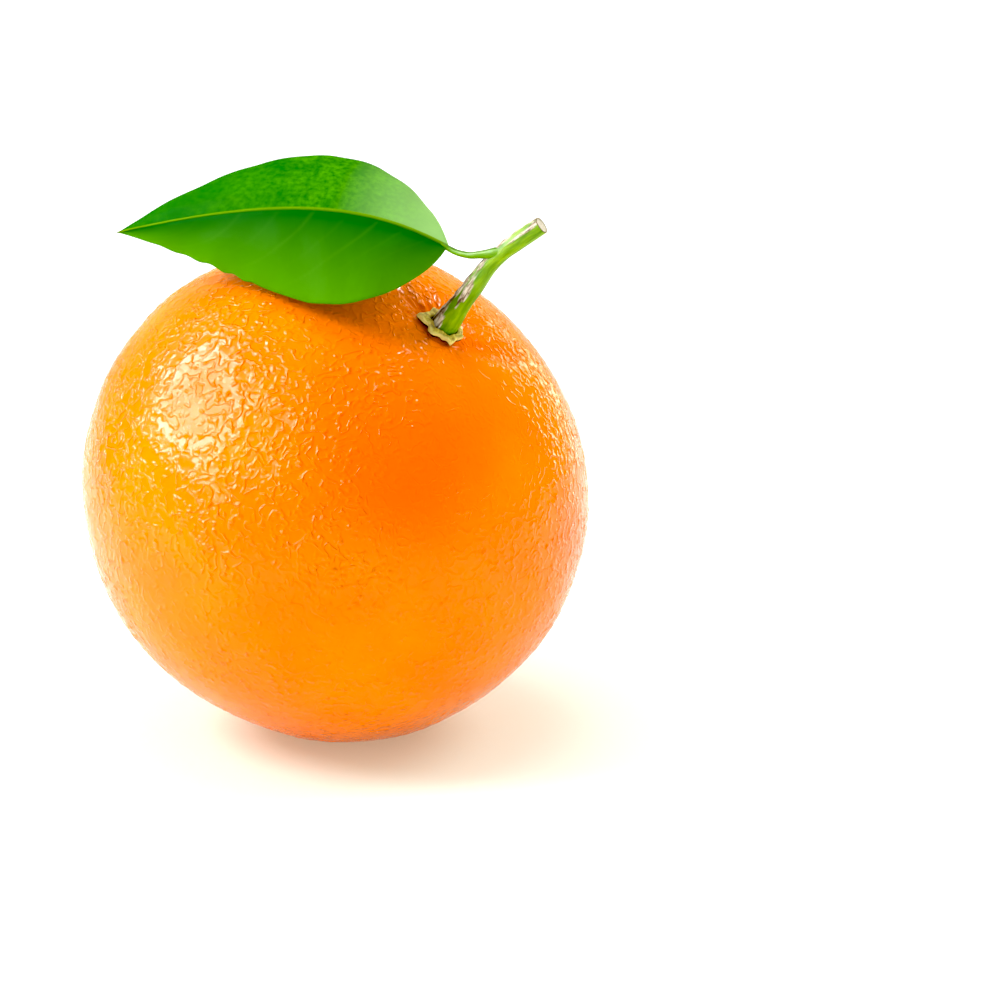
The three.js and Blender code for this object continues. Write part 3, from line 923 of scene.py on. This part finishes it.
def make_stalk():
    rows, around = 70, 40
    path, along = curve_through(STALK_PATH, rows)
    _, side, over = carried_sides(path, (0, 0, 1))
    radius = np.interp(along / along[-1], *zip(*STALK_RADII))
    angle = np.linspace(0, 2 * math.pi, around, endpoint=False)
    a, s = np.meshgrid(angle, along)
    groove = GROOVE_DEPTH * np.exp(-(turned_from(a, 0) / GROOVE_HALF_WIDTH) ** 2)
    out = radius[:, None] * (1 - groove)
    ring = np.cos(a)[..., None] * side[:, None] + np.sin(a)[..., None] * over[:, None]
    points = (path[:, None] + ring * out[..., None]).reshape(-1, 3)
    faces = grid_faces(rows, around, closed=True)
    faces += [tuple(range(around))[::-1], tuple(range((rows - 1) * around, rows * around))]
    piece = make_piece("leaf_stalk", points + CENTRE, faces, [green_leaf_stalk()])
    store(piece, "stalk_spot", np.stack([np.cos(a), np.sin(a), s], -1).reshape(-1, 3))
    hand_over(piece, "leaf_stalk")


def green_leaf_stalk():
    """The tender stalk of the leaf: fresh yellow green, painted darker green along its upper and lower edges
    as shade.
    """
    material, tree = empty_material("tender_green_stalk")
    spot = add(tree, "ShaderNodeAttribute", out="Vector", attribute_name="stalk_spot")
    # Painted shade: darker green along the stalk's upper and lower edges.
    upward = add(tree, "ShaderNodeSeparateXYZ", {0: spot})
    size = add(tree, "ShaderNodeMath", {0: upward}, operation="ABSOLUTE")
    edge = add(tree, "ShaderNodeMapRange", {"Value": size, LOW: 0.5, HIGH: 1.0})
    edge_shaded_green = add(tree, "ShaderNodeMix", {SHARE: edge, FIRST: "#5e9404", SECOND: "#2c6400"}, **COLOURS)
    long = add(tree, "ShaderNodeVectorMath", {0: spot, 1: (1, 1, 0.25)}, operation="MULTIPLY")
    streak = add(tree, "ShaderNodeTexNoise", {"Vector": long, "Scale": STALK_STREAKS_PER_MM, "Detail": 3.0})
    fleck = add(tree, "ShaderNodeMapRange", {"Value": streak, LOW: 0.4, HIGH: 0.7, TO_HIGH: 0.4})
    colour = add(tree, "ShaderNodeMix", {SHARE: fleck, FIRST: edge_shaded_green, SECOND: "#7ca014"}, **COLOURS)
    roughness = add(tree, "ShaderNodeMapRange", {"Value": streak, TO_LOW: 0.35, TO_HIGH: 0.5})
    bump = add(tree, "ShaderNodeBump", {"Height": streak, "Distance": 0.05 * MM})
    shader = add(tree, "ShaderNodeBsdfPrincipled", {
        "Base Color": colour, "Roughness": roughness, "Specular IOR Level": 0.15, "Normal": bump,
    })
    add(tree, "ShaderNodeOutputMaterial", {"Surface": shader}, None)
    return material


def bezier(corners, t):
    t = t[:, None]
    a, b, c, d = corners
    return (1 - t) ** 3 * a + 3 * (1 - t) ** 2 * t * b + 3 * (1 - t) * t**2 * c + t**3 * d


def make_blade():
    rows, half_columns = 200, 40
    u = np.linspace(0, 1, rows)
    path = bezier(MIDRIB, u)
    forward = np.gradient(path, axis=0)
    forward /= np.linalg.norm(forward, axis=1)[:, None]
    facing = np.array((0, -math.cos(BLADE_FACING), math.sin(BLADE_FACING)))
    across = np.cross(forward, facing)
    across /= np.linalg.norm(across, axis=1)[:, None]
    turn = -BLADE_ROLL * (u - 0.5)
    across = across * np.cos(turn)[:, None] + np.cross(forward, across) * np.sin(turn)[:, None]
    up = np.cross(across, forward)
    widest = BLADE_BASE_FULLNESS / (BLADE_BASE_FULLNESS + BLADE_TIP_SHARPNESS)
    half = BLADE_HALF_WIDTH * (u / widest) ** BLADE_BASE_FULLNESS
    half = half * ((1 - u) / (1 - widest)) ** BLADE_TIP_SHARPNESS
    half = np.maximum(half, BLADE_HALF_WIDTH_AT_ENDS * (1 - u) ** 0.5 + 0.05)
    # Columns crowd at the midrib and at the margin.
    even = np.linspace(-1, 1, 2 * half_columns + 1)
    v = np.sign(even) * (0.55 * np.abs(even) + 0.45 * np.abs(even) ** 2)
    v_grid, u_grid = np.meshgrid(v, u)
    wave = MARGIN_WAVE * np.sin(u_grid * MARGIN_WAVE_RATE)
    wave = wave * smoothstep(0.6, 0.72, u_grid) * smoothstep(0.98, 0.9, u_grid)
    v_bent = v_grid * (1 + np.where(v_grid < 0, 0.025 + wave * smoothstep(0.6, 1.0, -v_grid), 0))
    from_rib = half[:, None] * v_bent
    # How plainly a side vein shows at each point.
    vein = np.zeros_like(u_grid)
    for start, strength in zip(SIDE_VEINS, VEIN_STRENGTHS):
        sweep = 0.30 - 0.20 * start
        reach = start + 0.09 * np.abs(v_grid) + sweep * v_grid**2
        away = (u_grid - reach) * LENGTH_ACROSS_VEINS
        fade = smoothstep(0.02, 0.08, np.abs(v_grid)) * (1 - smoothstep(0.75, 0.95, np.abs(v_grid)))
        vein = np.maximum(vein, strength * np.exp(-(away / VEIN_HALF_WIDTH) ** 2) * fade)
    to_stalk = 1 - u_grid
    rib_half = RIB_HALF_WIDTH[0] + RIB_HALF_WIDTH[1] * to_stalk ** 1.5
    rib = np.exp(-(from_rib / rib_half) ** 4)
    flat_spots = np.stack([u_grid * BLADE_LENGTH, from_rib, 0 * u_grid], -1).reshape(-1, 3)
    quilt = BROAD_QUILT[1] * ripples(flat_spots, BROAD_QUILT[0], seed=41).reshape(u_grid.shape)
    fine_quilt = FINE_QUILT[1] * ripples(flat_spots, FINE_QUILT[0], seed=42).reshape(u_grid.shape)
    thin = 0.5 * BLADE_THICKNESS * (0.35 + 0.65 * (1 - np.abs(v_grid) ** 6))
    swell = quilt * smoothstep(0.05, 0.4, np.abs(v_grid)) + fine_quilt
    rib_above = rib * (RIB_HEIGHT_ABOVE[0] + RIB_HEIGHT_ABOVE[1] * to_stalk)
    rib_below = rib * (RIB_HEIGHT_BELOW[0] + RIB_HEIGHT_BELOW[1] * to_stalk)
    top = thin + swell + rib_above - VEIN_DEPTH_ABOVE * vein
    below = -thin + swell - rib_below - VEIN_HEIGHT_BELOW * vein
    fold = half[:, None] * v_bent**2 * math.sin(BLADE_FOLD)
    sheets = []
    for height in (top, below):
        sheets.append(
            path[:, None]
            + across[:, None] * (from_rib * math.cos(BLADE_FOLD))[..., None]
            + up[:, None] * (height - fold)[..., None]
        )
    columns = len(v)
    loop = np.concatenate([sheets[0], sheets[1][:, ::-1]], axis=1)
    points = loop.reshape(-1, 3)
    faces = grid_faces(rows, 2 * columns, closed=True)
    faces += [tuple(range(2 * columns)), tuple(range((rows - 1) * 2 * columns, rows * 2 * columns))[::-1]]
    faces = [face[::-1] for face in faces]
    piece = make_piece("leaf_blade", points + CENTRE, faces, [citrus_leaf()])

    def both(values, mirrored=None):
        return np.concatenate([values, values[:, ::-1] if mirrored is None else mirrored], axis=1).ravel()

    store(piece, "leaf_spot", np.stack([both(u_grid * BLADE_LENGTH), both(from_rib), both(0 * u_grid)], -1))
    store(piece, "across_blade", both(v_grid))
    store(piece, "along_blade", both(u_grid))
    store(piece, "vein", both(vein))
    store(piece, "rib", both(rib))
    store(piece, "underside", both(0 * u_grid, 1 + 0 * u_grid))
    hand_over(piece, "leaf_blade")


def citrus_leaf():
    """A waxy citrus leaf. The half that faces up is finely mottled with yellow green, painted pale towards
    the stalk as a sheen it mirrors there, and darker towards the tip. The half that faces down is deep green
    by the midrib and painted brighter at the margin, for light shining through the blade and bounced from
    the fruit. Underneath the leaf is paler and duller."""
    material, tree = empty_material("waxy_citrus_leaf")
    spot = add(tree, "ShaderNodeAttribute", out="Vector", attribute_name="leaf_spot")
    across = add(tree, "ShaderNodeAttribute", out="Fac", attribute_name="across_blade")
    mottle = add(tree, "ShaderNodeTexNoise", {"Vector": spot, "Scale": MOTTLES_PER_MM, "Detail": 4.0})
    broad = add(tree, "ShaderNodeTexNoise", {"Vector": spot, "Scale": LEAF_PATCHES_PER_MM, "Detail": 2.0})
    both = add(tree, "ShaderNodeMath", {0: mottle, 1: broad}, operation="MULTIPLY")
    flecks = add(tree, "ShaderNodeMapRange", {"Value": both, LOW: 0.16, HIGH: 0.40})
    upper = add(tree, "ShaderNodeMix", {SHARE: flecks, FIRST: "#186400", SECOND: "#458a04"}, **COLOURS)
    # Painted light: the half that faces down brightens towards its margin, for light shining through the
    # blade and bounced up from the fruit.
    outward = add(tree, "ShaderNodeMapRange", {
        "Value": across, LOW: -1.0, HIGH: -0.10, TO_LOW: 1.0, TO_HIGH: 0.0,
    })
    lower = add(tree, "ShaderNodeMix", {SHARE: outward, FIRST: "#145a10", SECOND: "#4a8616"}, **COLOURS)
    along = add(tree, "ShaderNodeAttribute", out="Fac", attribute_name="along_blade")
    # Painted sheen: the upper half turns pale towards the stalk, standing in for the light it mirrors there.
    painted_sheen = add(tree, "ShaderNodeMapRange", {"Value": along, LOW: 0.42, HIGH: 0.06, TO_HIGH: 0.9})
    upper = add(tree, "ShaderNodeMix", {SHARE: painted_sheen, FIRST: upper, SECOND: "#8cb86a"}, **COLOURS)
    to_tip = add(tree, "ShaderNodeMapRange", {"Value": along, LOW: 0.5, HIGH: 0.8, TO_HIGH: 0.75})
    upper = add(tree, "ShaderNodeMix", {SHARE: to_tip, FIRST: upper, SECOND: "#146210"}, **COLOURS)
    is_upper = add(tree, "ShaderNodeMapRange", {"Value": across, LOW: -0.02, HIGH: 0.02})
    face = add(tree, "ShaderNodeMix", {SHARE: is_upper, FIRST: lower, SECOND: upper}, **COLOURS)
    vein = add(tree, "ShaderNodeAttribute", out="Fac", attribute_name="vein")
    faint = add(tree, "ShaderNodeMath", {0: vein, 1: 0.07}, operation="MULTIPLY")
    veined = add(tree, "ShaderNodeMix", {SHARE: faint, FIRST: face, SECOND: "#6fa83a"}, **COLOURS)
    rib = add(tree, "ShaderNodeAttribute", out="Fac", attribute_name="rib")
    strong = add(tree, "ShaderNodeMath", {0: rib, 1: 0.9}, operation="MULTIPLY")
    ribbed = add(tree, "ShaderNodeMix", {SHARE: strong, FIRST: veined, SECOND: "#64890f"}, **COLOURS)
    below = add(tree, "ShaderNodeAttribute", out="Fac", attribute_name="underside")
    pale = add(tree, "ShaderNodeMath", {0: below, 1: 0.75}, operation="MULTIPLY")
    colour = add(tree, "ShaderNodeMix", {SHARE: pale, FIRST: ribbed, SECOND: "#6c9448"}, **COLOURS)
    shine = add(tree, "ShaderNodeMapRange", {
        "Value": mottle, LOW: 0.3, HIGH: 0.7, TO_LOW: 0.44, TO_HIGH: 0.52,
    })
    roughness = add(tree, "ShaderNodeMix", {"Factor": below, "A": shine, "B": 0.62})
    bump = add(tree, "ShaderNodeBump", {"Height": mottle, "Distance": 0.05 * MM})
    shader = add(tree, "ShaderNodeBsdfPrincipled", {
        "Base Color": colour, "Roughness": roughness, "Specular IOR Level": 0.004, "Normal": bump,
    })
    add(tree, "ShaderNodeOutputMaterial", {"Surface": shader}, None)
    return material


# ---------------------------------------------------------------- everything together

make_camera()
light_studio()
make_table()
make_fruit()
make_calyx()
make_twig()
make_stalk()
make_blade()
